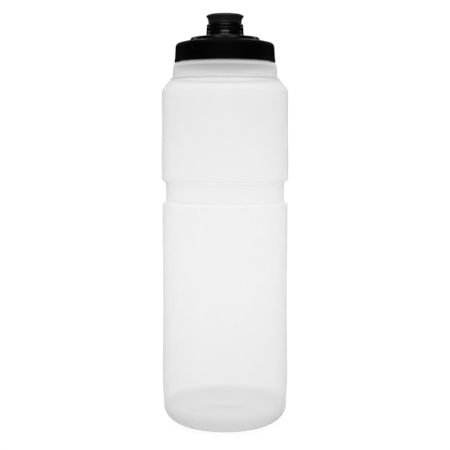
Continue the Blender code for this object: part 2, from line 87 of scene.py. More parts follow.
# ---- rounding of moulded edges, in mm ----
TIGHT_EDGE = 0.1
CRISP_EDGE = 0.15
SMALL_EDGE = 0.2
EASED_EDGE = 0.25
SOFT_EDGE = 0.3

# ---- bottle, in mm from its axis and its standing plane ----
BARREL_R = 37.0
LOWER_BULGE = (37.4, 26.0)
LOWER_WAIST = (36.85, 76.0)
LOWER_STRAIGHT_Z = 112.0
UPPER_BULGE = (37.34, 154.0)
UPPER_STRAIGHT_Z = 175.0
RING_INNER_R = 23.4
RING_OUTER_R = 25.2
HEEL_TOP_R = 36.7
HEEL_HEIGHT = 10.5
PUSH_UP_HEIGHT = 4.6
PUSH_UP_RIM_R = 17.0
PUSH_UP_CROWN = 1.4
PUSH_UP_RIM_Z = 3.0
PUSH_UP_FOOT = (21.0, 1.3)
LOWER_BARREL_TOP = 130.5
GROOVE_BOTTOM = 132.1
GROOVE_TOP = 142.8
GROOVE_R = 34.85
GROOVE_DRAFT = 0.1
UPPER_BARREL_BOTTOM = 145.9
UPPER_CORNER = (1.8, 2.1)
SHOULDER_BOTTOM = 195.1
SHOULDER_BEND_R = 5.6
SHOULDER_SLOPE = 39
SHOULDER_TOP = (31.8, 203.5)
NECK_PINCH = (30.45, 204.3)
NECK_BEAD_R = 30.55
NECK_BEAD_BOTTOM = 205.2
NECK_BEAD_TOP = 207.2
NECK_BEAD_CORNER = (28.45, 208.6)
NECK_BEAD_CORNER_SIZE = (2.05, 4.3)
NECK_BEAD_INSIDE = ((28.5, 211.4), (29.3, 209.5))
WALL = 1.2
BASE_WALL = 1.6
FLOOR_CROWN = 1.6
FLOOR_CROWN_R = 16.0
FLOOR_FOOT = (20.5, 3.4)
INNER_EASE = 0.5  # how much taller the groove and lower the corners are inside
NECK_R = 25.9
NECK_BORE_R = 24.4
NECK_FOOT = 213.9
NECK_ROWS_BOTTOM = 214.9
NECK_FOOT_EDGE = (26.7, 213.0)
RIM_Z = 221.2
RIM_EDGE = 0.35
GASKET_R = (24.3, 27.0)

# ---- parting lines of the bottle's mould, and the weld where it pinched the base shut ----
SEAM_HEIGHT = 0.05
SEAM_HALF_WIDTH = 0.3
SCAR_HEIGHT = 0.35
SCAR_HALF_WIDTH = 0.55
SCAR_REACH = 17.5
SCAR_FADE = 1.5

# ---- screw thread ----
THREAD_PITCH = 4.5
THREAD_TURNS = 1.05
THREAD_ROOT_WIDTH = 1.6
THREAD_CREST_WIDTH = 0.8
THREAD_ROOT_DEPTH = 0.6
THREAD_RUN_OUT_TURNS = 0.1
THREAD_ROW = 0.16  # height of a row of faces over a thread
BOTTLE_THREAD_R = 27.0
BOTTLE_THREAD_START = 215.5
CAP_THREAD_R = 26.3
CAP_THREAD_START_TURN = 0.45
CAP_THREAD_START = BOTTLE_THREAD_START + THREAD_PITCH * (CAP_THREAD_START_TURN - 0.5)

# ---- screw cap ----
SKIRT_BOTTOM = 213.3
SKIRT_BOTTOM_R = 29.6
SKIRT_TOP_R = 28.9
SKIRT_BORE_R = 27.4
SKIRT_LEAD_IN = 0.8
SKIRT_BEND = (29.25, 215.7)
CAP_CORNER_R = 2.75
CAP_CORNER_Z = 221.7
CAP_CEILING = 223.0
CAP_SEAT_Z = 225.25
CAP_DOME_BEND = (24.0, 225.05)
CAP_DOME_TOP = 225.6
CAP_SEAT_R = 20.85
CAP_HOLE_R = 11.6
THREADED_BORE = (SKIRT_BOTTOM + SKIRT_LEAD_IN, SKIRT_BOTTOM + SKIRT_LEAD_IN + 8.4)

# ---- valve base ----
DISC_R = 20.5
DISC_TOP_R = 19.7
DISC_BOTTOM = 225.55
DISC_TOP = 227.4
DISC_LIP_TOP = 225.9
TOWER_R = 10.8
TOWER_FOOT_R = 10.93
TOWER_STEP_TOP = 231.1
TOWER_STEP_BOTTOM = 229.8
TOWER_TOP = 233.2
TOWER_EDGE = 0.35
TOWER_FOOT_FILLET = 1.9
TOWER_BORE_R = 9.5
TOWER_LIP_R = 9.0
TOWER_LIP_BOTTOM = 231.6
TOWER_LIP_SLOPE = 0.5
SPIGOT_R = 11.2
SPIGOT_BOTTOM = 218.0
SNAP_BEAD_R = 12.2
SNAP_BEAD_TOP = 222.7
SNAP_BEAD_HEIGHT = 2.3
SNAP_BEAD_FLAT = 0.8
SPOKE_COUNT = 3
SPOKE_WIDTH = 2.0
SPOKE_HEIGHT = 1.6
SPOKE_EDGE = 0.2
SPOKE_OUTER_R = 10.3
PIN_R = 2.4
PIN_SIDES = 48
PIN_FOOT_TOP = SPIGOT_BOTTOM + 3.2
PIN_CROWN = 1.1
PIN_HEAD_SLOPE = 0.9
PIN_FOOT_R = 3.4
PIN_HEAD_R = 3.3
PIN_HEAD_BOTTOM = 238.3
PIN_TOP = 240.7
BASE_SEAL_R = 15.0
SEAL_SECTION_R = 0.55
BASE_SEAL_GROOVE_HALF_WIDTH = 0.8
BASE_SEAL_GROOVE_DEPTH = 0.6

# ---- frosted plastic ----
PLASTIC_WHITE = 0.92
PLASTIC_IOR = 1.5
LIGHT_LET_THROUGH = 0.45
THINNEST_HAZE = 0.42  # how much the thinnest wall scatters, as the exponent of what stays clear
SLANT_SHARE = 0.36  # share of the haze that grows when the wall is seen at a slant
LEAST_COSINE = 0.08
BEND_BLEND = 0.5  # Layer Weight's setting at which its facing is one less the cosine
FLOOR_LINE = (0.0114, 0.0118)  # m above the standing plane, where the thick floor begins
FLOOR_HAZE = 0.60
FLOOR_TONE = 0.95  # brightness of the floor, seen from inside
FLOOR_LINE_TONE = 0.975  # and through the outer skin
HEEL_FADE = (0.0046, 0.0120)
# painted shade: the outer skin of the heel and base darker towards the standing plane
HEEL_PAINTED_SHADE = 0.84
EXTRA_HAZE = (  # from height, to height in m, haze there and there
    (0.020, 0.100, 0.06, 0.0),  # lower barrel
    (*HEEL_FADE, 0.15, 0.0),  # heel and base
    (0.196, 0.206, 0.0, 0.33),  # shoulder and neck
    (0.2104, 0.2110, 0.0, 0.80),  # solid top of the neck bead
)
CREASE_HAZE = (0.2024, 0.2030, 0.2036, 0.2042, 0.60)  # the pinch under the neck bead
TONES_AND_PAINTED_SHADE = (  # from height, to height in m, brightness there and there, all multiplied
    (0.015, 0.110, 0.94, 1.0),  # lower barrel
    (0.100, 0.196, 1.0, 0.965),  # upper barrel
    (0.1930, 0.2026, 1.0, 0.93),  # shoulder, painted shade over it
    (0.2026, 0.2032, 1.0, 0.70),  # painted shade into the crease
    (0.2039, 0.2042, 1.0, 1.56),  # out of the painted crease shade, on to the neck bead, which ends a little lighter than the shoulder
)
INSIDE_VEIL = (0.025, 0.04)  # least and most haze of the inner face
THROAT_HAZE = (0.2080, 0.2125, 0.0, 1.1)
# painted shade: the inside of the neck darkened up towards the cap, as the cap's shadow
THROAT_PAINTED_SHADE = (0.2060, 0.2110, 1.0, 0.35)

# ---- unevenness of the surfaces: noise scales per metre, bump depths in m, and the rest as shares ----
NOISE_MIDDLE = (0.3, 0.7)  # the values that a noise mostly stays between
CLOUD_SCALE = 70.0
CLOUD_SHARE = 0.06
CLOUD_DEPTH = 0.0001
STREAK_SCALE = 160.0
STREAK_STRETCH = (1.0, 1.0, 0.06)
STREAK_SHARE = 0.04
HAZE_SCALE = 2600.0
HAZE_DEPTH = 0.00003
OUTSIDE_ROUGHNESS = (0.34, 0.46)
INSIDE_ROUGHNESS = (0.40, 0.50)
PATCH_SCALE = 220.0
PATCH_SHADES = (0.85, 1.2)
PATCH_GLOSS = (-0.04, 0.05)

# ---- finish of the black pieces: colour, roughness, specular level, grain size, grain depth ----
FINISHES = {
    "cap_polypropylene": ((0.0009, 0.0009, 0.00094), 0.50, 0.06, 5200.0, 0.00003),
    "valve_polypropylene": ((0.0026, 0.0026, 0.0028), 0.20, 0.8, 3000.0, 0.000004),
    "soft_touch_rubber": ((0.011, 0.011, 0.0113), 0.36, 0.50, 4200.0, 0.00003),
    "seal_elastomer": ((0.016, 0.016, 0.016), 0.60, 0.30, 3500.0, 0.00002),
}

# ---- spout slider and mouthpiece ----
STEM_R = 8.7
STEM_BOTTOM = 220.7
STEM_BORE_R = 5.6
STOP_BEAD_R = 9.2
STOP_BEAD_TOP = 225.6
STOP_BEAD_HEIGHT = 1.4
STOP_BEAD_SLOPE = 0.3
COLLAR_R = 10.65
COLLAR_BOTTOM = 233.5
COLLAR_TOP = 235.15
COLLAR_EDGE = 0.75
NIPPLE_R = 7.6
NIPPLE_TOP = 239.3
NIPPLE_LIP_R = 4.4
NIPPLE_LIP_BOTTOM = 238.9
NIPPLE_ROOF = 238.4
SPOUT_SEAL_Z = 222.6
SPOUT_SEAL_R = 8.6
SPOUT_SEAL_GROOVE_R = 7.8
SPOUT_SEAL_GROOVE_HALF_WIDTH = 0.75
MOUTHPIECE_BOTTOM = 235.45
MOUTHPIECE_FOOT_R = 9.8
MOUTHPIECE_WAIST = (9.7, 236.2)
MOUTHPIECE_LIP = (11.0, 239.45)
FLARE_POWER = 2.5
MOUTHPIECE_TOP = 240.9
MOUTHPIECE_TOP_R = 8.0
MOUTHPIECE_BORE_R = 7.9
MOUTHPIECE_CEILING = 239.7
OUTLET_R = 3.6
OUTLET_TOP = 240.3
OUTLET_DISH = ((5.2, 240.8), (4.0, 240.55))


# ---------------------------------------------------------------- outlines


def arc(centre, radii, start, end, steps):
    """Points on an elliptical arc, from start to end degrees, both ends included."""
    angles = [math.radians(start + (end - start) * step / steps) for step in range(steps + 1)]
    return [(centre[0] + radii[0] * math.cos(a), centre[1] + radii[1] * math.sin(a)) for a in angles]


def eased(start, end, steps):
    """Points from start to end along half a cosine wave, upright at both ends."""
    points = []
    for step in range(1, steps + 1):
        share = step / steps
        weight = (1 - math.cos(math.pi * share)) / 2
        points.append((start[0] + (end[0] - start[0]) * weight, start[1] + (end[1] - start[1]) * share))
    return points


def flare(start, end, steps):
    """Points from an upright start that bend outwards ever faster towards the end."""
    points = []
    for step in range(1, steps + 1):
        share = step / steps
        weight = share**FLARE_POWER
        points.append((start[0] + (end[0] - start[0]) * weight, start[1] + (end[1] - start[1]) * share))
    return points


def rows(start, end, height):
    """Points up or down a straight wall, about height apart, without its ends."""
    steps = max(1, round(math.dist(start, end) / height))
    return [
        (start[0] + (end[0] - start[0]) * step / steps, start[1] + (end[1] - start[1]) * step / steps)
        for step in range(1, steps)
    ]


def rounded(corners, closed=True, steps=4):
    """The outline through these (radius, height[, rounding]) corners, with each rounding as an arc."""
    points = []
    count = len(corners)
    for index, corner in enumerate(corners):
        here = Vector(corner[:2])
        size = corner[2] if len(corner) > 2 else 0.0
        inner = closed or 0 < index < count - 1
        if size <= 0 or not inner:
            points.append(tuple(here))
            continue
        before = Vector(corners[index - 1][:2]) - here
        after = Vector(corners[(index + 1) % count][:2]) - here
        half = before.angle(after) / 2
        reach = min(size / math.tan(half), 0.49 * before.length, 0.49 * after.length)
        size = reach * math.tan(half)
        start = here + before.normalized() * reach
        end = here + after.normalized() * reach
        middle = here + (before.normalized() + after.normalized()).normalized() * (size / math.sin(half))
        sweep = (start - middle).angle_signed(end - middle)
        for step in range(steps + 1):
            turn = -sweep * step / steps
            arm = start - middle
            points.append(
                (
                    middle.x + arm.x * math.cos(turn) - arm.y * math.sin(turn),
                    middle.y + arm.x * math.sin(turn) + arm.y * math.cos(turn),
                )
            )
    return points


def thinned(points, least=0.01):
    """The outline without points that lie on the one before."""
    kept = [points[0]]
    for point in points[1:]:
        if math.dist(point, kept[-1]) > least:
            kept.append(point)
    return kept


# ---------------------------------------------------------------- meshes


def columns(count, radius=None):
    """Angles of the columns of a turned piece. With a radius, more stand close to the two parting lines."""
    angles = [math.tau * column / count for column in range(count)]
    if radius is None:
        return np.array(angles)
    seams = [turn + offset / radius for turn in (0.0, math.pi) for offset in SEAM_OFFSETS]
    clear = 0.4 * math.tau / count
    far = [a for a in angles if all(abs((a - s + math.pi) % math.tau - math.pi) > clear for s in seams)]
    return np.sort(np.array(far + seams) % math.tau)


def turned_mesh(name, outline, angles, shape=None):
    """A mesh of an outline of (radius, height) points turned round Z.

    An outline that starts or ends off the axis is closed into a ring. shape moves the points of the
    finished grid: it takes and gives arrays of radius, angle and height, in mm.
    """
    outline = thinned(outline)
    on_axis = [outline[0][0] <= 0, outline[-1][0] <= 0]
    ring = not any(on_axis)
    if ring and math.dist(outline[0], outline[-1]) < 0.01:
        outline = outline[:-1]
    radius = np.array([p[0] for p in outline])[:, None] * np.ones(len(angles))
    height = np.array([p[1] for p in outline])[:, None] * np.ones(len(angles))
    angle = np.ones(len(outline))[:, None] * angles[None, :]
    if shape is not None:
        radius, angle, height = shape(radius, angle, height)
    points = np.stack([radius * np.cos(angle), radius * np.sin(angle), height], axis=-1) * MM
    verts, index = [], np.zeros(radius.shape, int)
    for row in range(len(outline)):
        if outline[row][0] <= 0:
            index[row, :] = len(verts)
            verts.append((0.0, 0.0, float(points[row, :, 2].mean())))
        else:
            index[row, :] = np.arange(len(verts), len(verts) + len(angles))
            verts.extend(map(tuple, points[row]))
    faces = []
    following = np.roll(np.arange(len(angles)), -1)
    for row in range(len(outline) if ring else len(outline) - 1):
        low, high = index[row], index[(row + 1) % len(outline)]
        for column, after in enumerate(following):
            corners = (low[column], low[after], high[after], high[column])
            faces.append(tuple(dict.fromkeys(int(c) for c in corners)))
    mesh = bpy.data.meshes.new(name)
    mesh.from_pydata(verts, [], faces)
    bm = bmesh.new()
    bm.from_mesh(mesh)
    bmesh.ops.recalc_face_normals(bm, faces=bm.faces)
    bm.to_mesh(mesh)
    bm.free()
    return mesh


def piece(name, mesh, material, body, slot, *nodes):
    """A shown piece that stands for CAD nodes, moves with a body and wears the material given to it; slot
    is not used.
    """
    mesh.materials.clear()
    mesh.materials.append(material)
    mesh.shade_smooth()
    mesh.set_sharp_from_angle(angle=math.radians(SHARP_ANGLE))
    made = bpy.data.objects.new(name, mesh)
    bpy.context.collection.objects.link(made)
    normals = made.modifiers.new("even_shading", "WEIGHTED_NORMAL")
    normals.keep_sharp = True
    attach(made, body)
    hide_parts(*nodes)
    return made


def thread_rise(angle, height, start, start_turn, root_width, crest_width):
    """How far a helical ridge rises at each point, from 0 at its foot to 1 on its crest."""
    turn_here = (angle / math.tau - start_turn) % 1.0
    rise = np.zeros(angle.shape)
    for lap in range(math.ceil(THREAD_TURNS)):
        turn = turn_here + lap
        inside = turn <= THREAD_TURNS
        middle = start + THREAD_PITCH * turn
        off = np.abs(height - middle)
        flank = np.clip((root_width / 2 - off) / ((root_width - crest_width) / 2), 0, 1)
        run_out = np.clip(np.minimum(turn, THREAD_TURNS - turn) / THREAD_RUN_OUT_TURNS, 0, 1)
        rise = np.maximum(rise, np.where(inside, flank * (0.1 + 0.9 * run_out), 0))
    return rise


# ---------------------------------------------------------------- bottle


def bottle_outside():
    """Outline from the middle of the base, round the heel and up to the rim."""
    outline = arc((0.0, PUSH_UP_HEIGHT - PUSH_UP_CROWN), (PUSH_UP_RIM_R, PUSH_UP_CROWN), 90, 12, 16)
    corners = [
        outline[-1],
        (PUSH_UP_RIM_R, PUSH_UP_RIM_Z, 1.6),
        (*PUSH_UP_FOOT, 3.0),
        (RING_INNER_R, 0.0, 0.5),
        (RING_OUTER_R, 0.0),
    ]
    outline += rounded(corners, closed=False)[1:]
    heel_size = (HEEL_TOP_R - RING_OUTER_R, HEEL_HEIGHT)
    outline += arc((RING_OUTER_R, HEEL_HEIGHT), heel_size, -90, 0, 30)[1:]
    outline += eased((HEEL_TOP_R, HEEL_HEIGHT), LOWER_BULGE, 10)
    outline += eased(LOWER_BULGE, LOWER_WAIST, 14)
    outline += eased(LOWER_WAIST, (BARREL_R, LOWER_STRAIGHT_Z), 8)
    corners = [
        outline[-1],
        (BARREL_R, LOWER_BARREL_TOP, 0.7),
        (GROOVE_R - GROOVE_DRAFT, GROOVE_BOTTOM, 0.55),
        (GROOVE_R + GROOVE_DRAFT, GROOVE_TOP, 0.8),
    ]
    corner = (UPPER_BULGE[0] - UPPER_CORNER[0], UPPER_BARREL_BOTTOM)
    lip = arc(corner, UPPER_CORNER, -72, 0, 10)
    outline += rounded([*corners, lip[0]], closed=False, steps=5)[1:-1]
    outline += lip + rows(lip[-1], UPPER_BULGE, 3.0)
    outline += [UPPER_BULGE] + eased(UPPER_BULGE, (BARREL_R, UPPER_STRAIGHT_Z), 8)
    bend = (BARREL_R - SHOULDER_BEND_R, SHOULDER_BOTTOM)
    outline += arc(bend, (SHOULDER_BEND_R, SHOULDER_BEND_R), 0, SHOULDER_SLOPE, 14)
    corners = [
        outline[-1],
        (*SHOULDER_TOP, 1.2),
        (*NECK_PINCH, 0.35),
        (NECK_BEAD_R, NECK_BEAD_BOTTOM, 0.6),
        (NECK_BEAD_R, NECK_BEAD_TOP, 2.0),
    ]
    bead = arc(NECK_BEAD_CORNER, NECK_BEAD_CORNER_SIZE, 6, 90, 12)
    outline += rounded([*corners, bead[0]], closed=False, steps=5)[1:-1]
    outline += bead
    foot = [bead[-1], (*NECK_FOOT_EDGE, SOFT_EDGE), (NECK_R, NECK_FOOT, 0.5), (NECK_R, NECK_ROWS_BOTTOM)]
    outline += rounded(foot, closed=False)[1:]
    outline += rows((NECK_R, NECK_ROWS_BOTTOM), (NECK_R, RIM_Z - RIM_EDGE), THREAD_ROW)
    outline += arc((NECK_R - RIM_EDGE, RIM_Z - RIM_EDGE), (RIM_EDGE, RIM_EDGE), 0, 90, 5)
    return outline


def bottle_inside():
    """Outline from the rim, down the inside of the walls and to the middle of the base."""
    bulge_r = UPPER_BULGE[0] - WALL
    bend = (BARREL_R - SHOULDER_BEND_R, SHOULDER_BOTTOM)
    outline = arc((NECK_BORE_R + RIM_EDGE, RIM_Z - RIM_EDGE), (RIM_EDGE, RIM_EDGE), 90, 180, 5)
    corners = [
        outline[-1],
        (NECK_BORE_R, NECK_FOOT - INNER_EASE, 1.0),
        (*NECK_BEAD_INSIDE[0], 1.4),
        (*NECK_BEAD_INSIDE[1], 1.4),
        (NECK_PINCH[0] - WALL, NECK_PINCH[1], 1.0),
        (SHOULDER_TOP[0] - WALL + 0.2, SHOULDER_TOP[1] - WALL, 1.6),
    ]
    inner_bend = arc(bend, (SHOULDER_BEND_R - WALL,) * 2, SHOULDER_SLOPE, 0, 12)
    outline += rounded([*corners, inner_bend[0]], closed=False, steps=5)[1:-1]
    outline += inner_bend
    outline += eased((BARREL_R - WALL, UPPER_STRAIGHT_Z), (bulge_r, UPPER_BULGE[1]), 6)
    corners = [
        outline[-1],
        (bulge_r, UPPER_BARREL_BOTTOM + 0.4, 1.4),
        (GROOVE_R - WALL, GROOVE_TOP + INNER_EASE, 1.2),
        (GROOVE_R - WALL, GROOVE_BOTTOM - INNER_EASE, 1.2),
        (BARREL_R - WALL, LOWER_BARREL_TOP - 1.0, 1.4),
        (BARREL_R - WALL, LOWER_STRAIGHT_Z),
    ]
    outline += rounded(corners, closed=False, steps=6)[1:]
    waist = (LOWER_WAIST[0] - WALL, LOWER_WAIST[1])
    bulge = (LOWER_BULGE[0] - WALL, LOWER_BULGE[1])
    outline += eased((BARREL_R - WALL, LOWER_STRAIGHT_Z), waist, 6)
    outline += eased(waist, bulge, 10)
    outline += eased(bulge, (HEEL_TOP_R - WALL, HEEL_HEIGHT), 8)
    heel_size = (HEEL_TOP_R - WALL - RING_OUTER_R, HEEL_HEIGHT - BASE_WALL)
    outline += arc((RING_OUTER_R, HEEL_HEIGHT), heel_size, 0, -90, 26)[1:]
    top = PUSH_UP_HEIGHT + BASE_WALL
    dome = arc((0.0, top - FLOOR_CROWN), (FLOOR_CROWN_R, FLOOR_CROWN), 14, 90, 14)
    corners = [
        outline[-1],
        (RING_INNER_R, BASE_WALL, 1.0),
        (*FLOOR_FOOT, 2.0),
        dome[0],
    ]
    outline += rounded(corners, closed=False)[1:-1]
    return outline + dome[:-1] + [(0.0, top)]


def bottle_shape(radius, angle, height):
    """Thread, parting lines and the weld left where the moulds pinched the base shut."""
    outer = np.abs(radius - NECK_R) < ON_WALL
    threaded = outer & (height > NECK_FOOT)
    span = BOTTLE_THREAD_R - (NECK_R - THREAD_ROOT_DEPTH)
    rise = thread_rise(angle, height, BOTTLE_THREAD_START, 0.0, THREAD_ROOT_WIDTH, THREAD_CREST_WIDTH)
    thread = np.clip(rise * span - THREAD_ROOT_DEPTH, 0, None)
    radius = np.where(threaded, radius + thread, radius)
    across = np.abs(np.sin(angle)) * radius
    outside = np.zeros(radius.shape, bool)
    outside[:OUTSIDE_ROWS] = True
    wall = outside & (height > 1.0) & (height < NECK_FOOT - 1.0) & (radius > RING_OUTER_R)
    ridge = SEAM_HEIGHT * np.clip(1 - across / SEAM_HALF_WIDTH, 0, 1)
    radius = np.where(wall, radius - SEAM_HEIGHT + ridge, radius)
    scar = SCAR_HEIGHT * np.exp(-((across / SCAR_HALF_WIDTH) ** 2))
    along = np.clip((SCAR_REACH - radius) / SCAR_FADE, 0, 1)
    base = outside & (radius < RING_INNER_R) & (height < 10.0)
    height = np.where(base, height - scar * along, height)
    return radius, angle, height


OUTSIDE = thinned(bottle_outside())
OUTSIDE_ROWS = len(OUTSIDE)


def make_bottle_body(outside, inside):
    outline = OUTSIDE + bottle_inside()
    angles = columns(BODY_COLUMNS, BARREL_R)
    mesh = turned_mesh("bottle_body_fine", outline, angles, bottle_shape)
    body = piece("bottle_body_fine", mesh, outside, "bottle", "frosted_plastic", "bottle_body")
    mesh.materials.append(inside)
    outer_faces = (OUTSIDE_ROWS - 1) * len(angles)
    for face in mesh.polygons[outer_faces:]:
        face.material_index = 1
    return body


# ---------------------------------------------------------------- cap


def cap_outline():
    """Skirt, corner, dome, disc seat, seal groove, centre hole, ceiling and bore of the cap."""
    groove_outer = BASE_SEAL_R + BASE_SEAL_GROOVE_HALF_WIDTH
    groove_inner = BASE_SEAL_R - BASE_SEAL_GROOVE_HALF_WIDTH
    groove_floor = CAP_SEAT_Z - BASE_SEAL_GROOVE_DEPTH
    corner = arc((SKIRT_TOP_R - CAP_CORNER_R, CAP_CORNER_Z), (CAP_CORNER_R, CAP_CORNER_R), 0, 84, 14)
    outline = rounded(
        [
            (SKIRT_BORE_R + SKIRT_LEAD_IN, SKIRT_BOTTOM),
            (SKIRT_BOTTOM_R, SKIRT_BOTTOM, 0.22),
            (*SKIRT_BEND, 6.0),
            corner[0],
        ],
        closed=False,
    )[:-1]
    outline += corner
    outline += rounded(
        [
            corner[-1],
            (*CAP_DOME_BEND, 3.0),
            (CAP_SEAT_R, CAP_DOME_TOP, CRISP_EDGE),
            (CAP_SEAT_R, CAP_SEAT_Z),
            (groove_outer, CAP_SEAT_Z, TIGHT_EDGE),
            (groove_outer, groove_floor, TIGHT_EDGE),
            (groove_inner, groove_floor, TIGHT_EDGE),
            (groove_inner, CAP_SEAT_Z, TIGHT_EDGE),
            (CAP_HOLE_R, CAP_SEAT_Z, SMALL_EDGE),
            (CAP_HOLE_R, CAP_CEILING, SMALL_EDGE),
            (SKIRT_BORE_R, CAP_CEILING, 0.4),
            (SKIRT_BORE_R, THREADED_BORE[1]),
        ],
        closed=False,
        steps=3,
    )[1:]
    bottom, top = [(SKIRT_BORE_R, height) for height in THREADED_BORE]
    return outline + rows(top, bottom, THREAD_ROW) + [bottom]


def cap_shape(radius, angle, height):
    """Thread inside the skirt."""
    threaded = np.abs(radius - SKIRT_BORE_R) < ON_WALL
    span = SKIRT_BORE_R + THREAD_ROOT_DEPTH - CAP_THREAD_R
    rise = thread_rise(
        angle, height, CAP_THREAD_START, CAP_THREAD_START_TURN, THREAD_ROOT_WIDTH, THREAD_CREST_WIDTH
    )
    thread = np.clip(rise * span - THREAD_ROOT_DEPTH, 0, None)
    return np.where(threaded, radius - thread, radius), angle, height


def make_screw_cap(material):
    mesh = turned_mesh("screw_cap_fine", cap_outline(), columns(CAP_COLUMNS), cap_shape)
    return piece("screw_cap_fine", mesh, material, "cap", "cap_black", "screw_cap")


# ---------------------------------------------------------------- valve


def valve_base_outline():
    """Tower, foot fillet, disc, seal groove, snap-in spigot and the bore that the slider runs in."""
    groove_outer = BASE_SEAL_R + BASE_SEAL_GROOVE_HALF_WIDTH
    groove_inner = BASE_SEAL_R - BASE_SEAL_GROOVE_HALF_WIDTH
    groove_top = DISC_BOTTOM + BASE_SEAL_GROOVE_DEPTH
    foot_centre = (TOWER_FOOT_R + TOWER_FOOT_FILLET, DISC_TOP + TOWER_FOOT_FILLET)
    foot = arc(foot_centre, (TOWER_FOOT_FILLET,) * 2, 180, 270, 12)
    step_top = (TOWER_R, TOWER_STEP_TOP)
    outline = rounded([(TOWER_LIP_R, TOWER_TOP), (TOWER_R, TOWER_TOP, TOWER_EDGE), step_top], closed=False)
    outline += eased(step_top, (TOWER_FOOT_R, TOWER_STEP_BOTTOM), 8)
    outline += foot
    outline += rounded(
        [
            foot[-1],
            (DISC_TOP_R, DISC_TOP, 0.45),
            (DISC_R, DISC_LIP_TOP, CRISP_EDGE),
            (DISC_R, DISC_BOTTOM, CRISP_EDGE),
            (groove_outer, DISC_BOTTOM, TIGHT_EDGE),
            (groove_outer, groove_top, TIGHT_EDGE),
            (groove_inner, groove_top, TIGHT_EDGE),
            (groove_inner, DISC_BOTTOM, TIGHT_EDGE),
            (SPIGOT_R, DISC_BOTTOM, CRISP_EDGE),
            (SPIGOT_R, SNAP_BEAD_TOP, TIGHT_EDGE),
            (SNAP_BEAD_R, SNAP_BEAD_TOP, EASED_EDGE),
            (SNAP_BEAD_R, SNAP_BEAD_TOP - SNAP_BEAD_FLAT, 0.4),
            (SPIGOT_R, SNAP_BEAD_TOP - SNAP_BEAD_HEIGHT, 0.6),
            (SPIGOT_R, SPIGOT_BOTTOM, EASED_EDGE),
            (TOWER_BORE_R, SPIGOT_BOTTOM, EASED_EDGE),
            (TOWER_BORE_R, TOWER_LIP_BOTTOM, TIGHT_EDGE),
            (TOWER_LIP_R, TOWER_LIP_BOTTOM + TOWER_LIP_SLOPE, TIGHT_EDGE),
            (TOWER_LIP_R, TOWER_TOP),
        ],
        closed=False,
    )[1:-1]
    return outline


def pin_outline():
    """Stopper pin from its foot among the spokes to its domed head."""
    outline = rounded(
        [
            (0.0, SPIGOT_BOTTOM),
            (PIN_FOOT_R, SPIGOT_BOTTOM, SOFT_EDGE),
            (PIN_FOOT_R, SPIGOT_BOTTOM + SPOKE_HEIGHT, 0.5),
            (PIN_R, PIN_FOOT_TOP, 0.8),
            (PIN_R, PIN_HEAD_BOTTOM - PIN_HEAD_SLOPE, 0.4),
            (PIN_HEAD_R, PIN_HEAD_BOTTOM, SOFT_EDGE),
            (PIN_HEAD_R, PIN_TOP - PIN_CROWN),
        ],
        closed=False,
    )
    crown = arc((0.0, PIN_TOP - PIN_CROWN), (PIN_HEAD_R, PIN_CROWN), 0, 90, 10)
    return outline + crown[1:-1] + [(0.0, PIN_TOP)]


def helper(name, mesh):
    made = bpy.data.objects.new(name, mesh)
    bpy.context.collection.objects.link(made)
    return made


def spoke_mesh(number):
    """A flat bar with eased edges from the pin's foot into the wall of the guide tube."""
    bm = bmesh.new()
    bmesh.ops.create_cube(bm, size=1.0)
    size = Vector((SPOKE_OUTER_R - PIN_R, SPOKE_WIDTH, SPOKE_HEIGHT)) * MM
    bmesh.ops.scale(bm, vec=size, verts=bm.verts)
    middle = Vector(((SPOKE_OUTER_R + PIN_R) / 2, 0.0, SPIGOT_BOTTOM + 0.7 * SPOKE_HEIGHT)) * MM
    bmesh.ops.translate(bm, vec=middle, verts=bm.verts)
    bmesh.ops.bevel(bm, geom=bm.edges[:], offset=SPOKE_EDGE * MM, segments=3, profile=0.5, affect="EDGES")
    turn = math.tau * number / SPOKE_COUNT
    for vert in bm.verts:
        x, y = vert.co.x, vert.co.y
        vert.co.x = x * math.cos(turn) - y * math.sin(turn)
        vert.co.y = x * math.sin(turn) + y * math.cos(turn)
    mesh = bpy.data.meshes.new(f"spoke_{number}")
    bm.to_mesh(mesh)
    bm.free()
    return mesh


def welded(name, mesh, additions):
    """One closed mesh of a mesh and the meshes that are welded on to it."""
    base = helper(name, mesh)
    helpers = [base]
    for addition in additions:
        extra = helper(f"{name}_{addition.name}", addition)
        helpers.append(extra)
        union = base.modifiers.new(addition.name, "BOOLEAN")
        union.operation = "UNION"
        union.solver = "EXACT"
        union.object = extra
    bpy.context.view_layer.update()
    depsgraph = bpy.context.evaluated_depsgraph_get()
    result = bpy.data.meshes.new_from_object(base.evaluated_get(depsgraph))
    result.name = f"{name}_mesh"
    for used in helpers:
        bpy.data.objects.remove(used)
    return result


def make_valve_base(material):
    angles = columns(SMALL_COLUMNS)
    tube = turned_mesh("tube", valve_base_outline(), angles)
    pin = turned_mesh("pin", pin_outline(), columns(PIN_SIDES))
    mesh = welded("valve", tube, [pin, *[spoke_mesh(number) for number in range(SPOKE_COUNT)]])
    return piece("valve_base_fine", mesh, material, "cap", "valve_black", "valve_base")


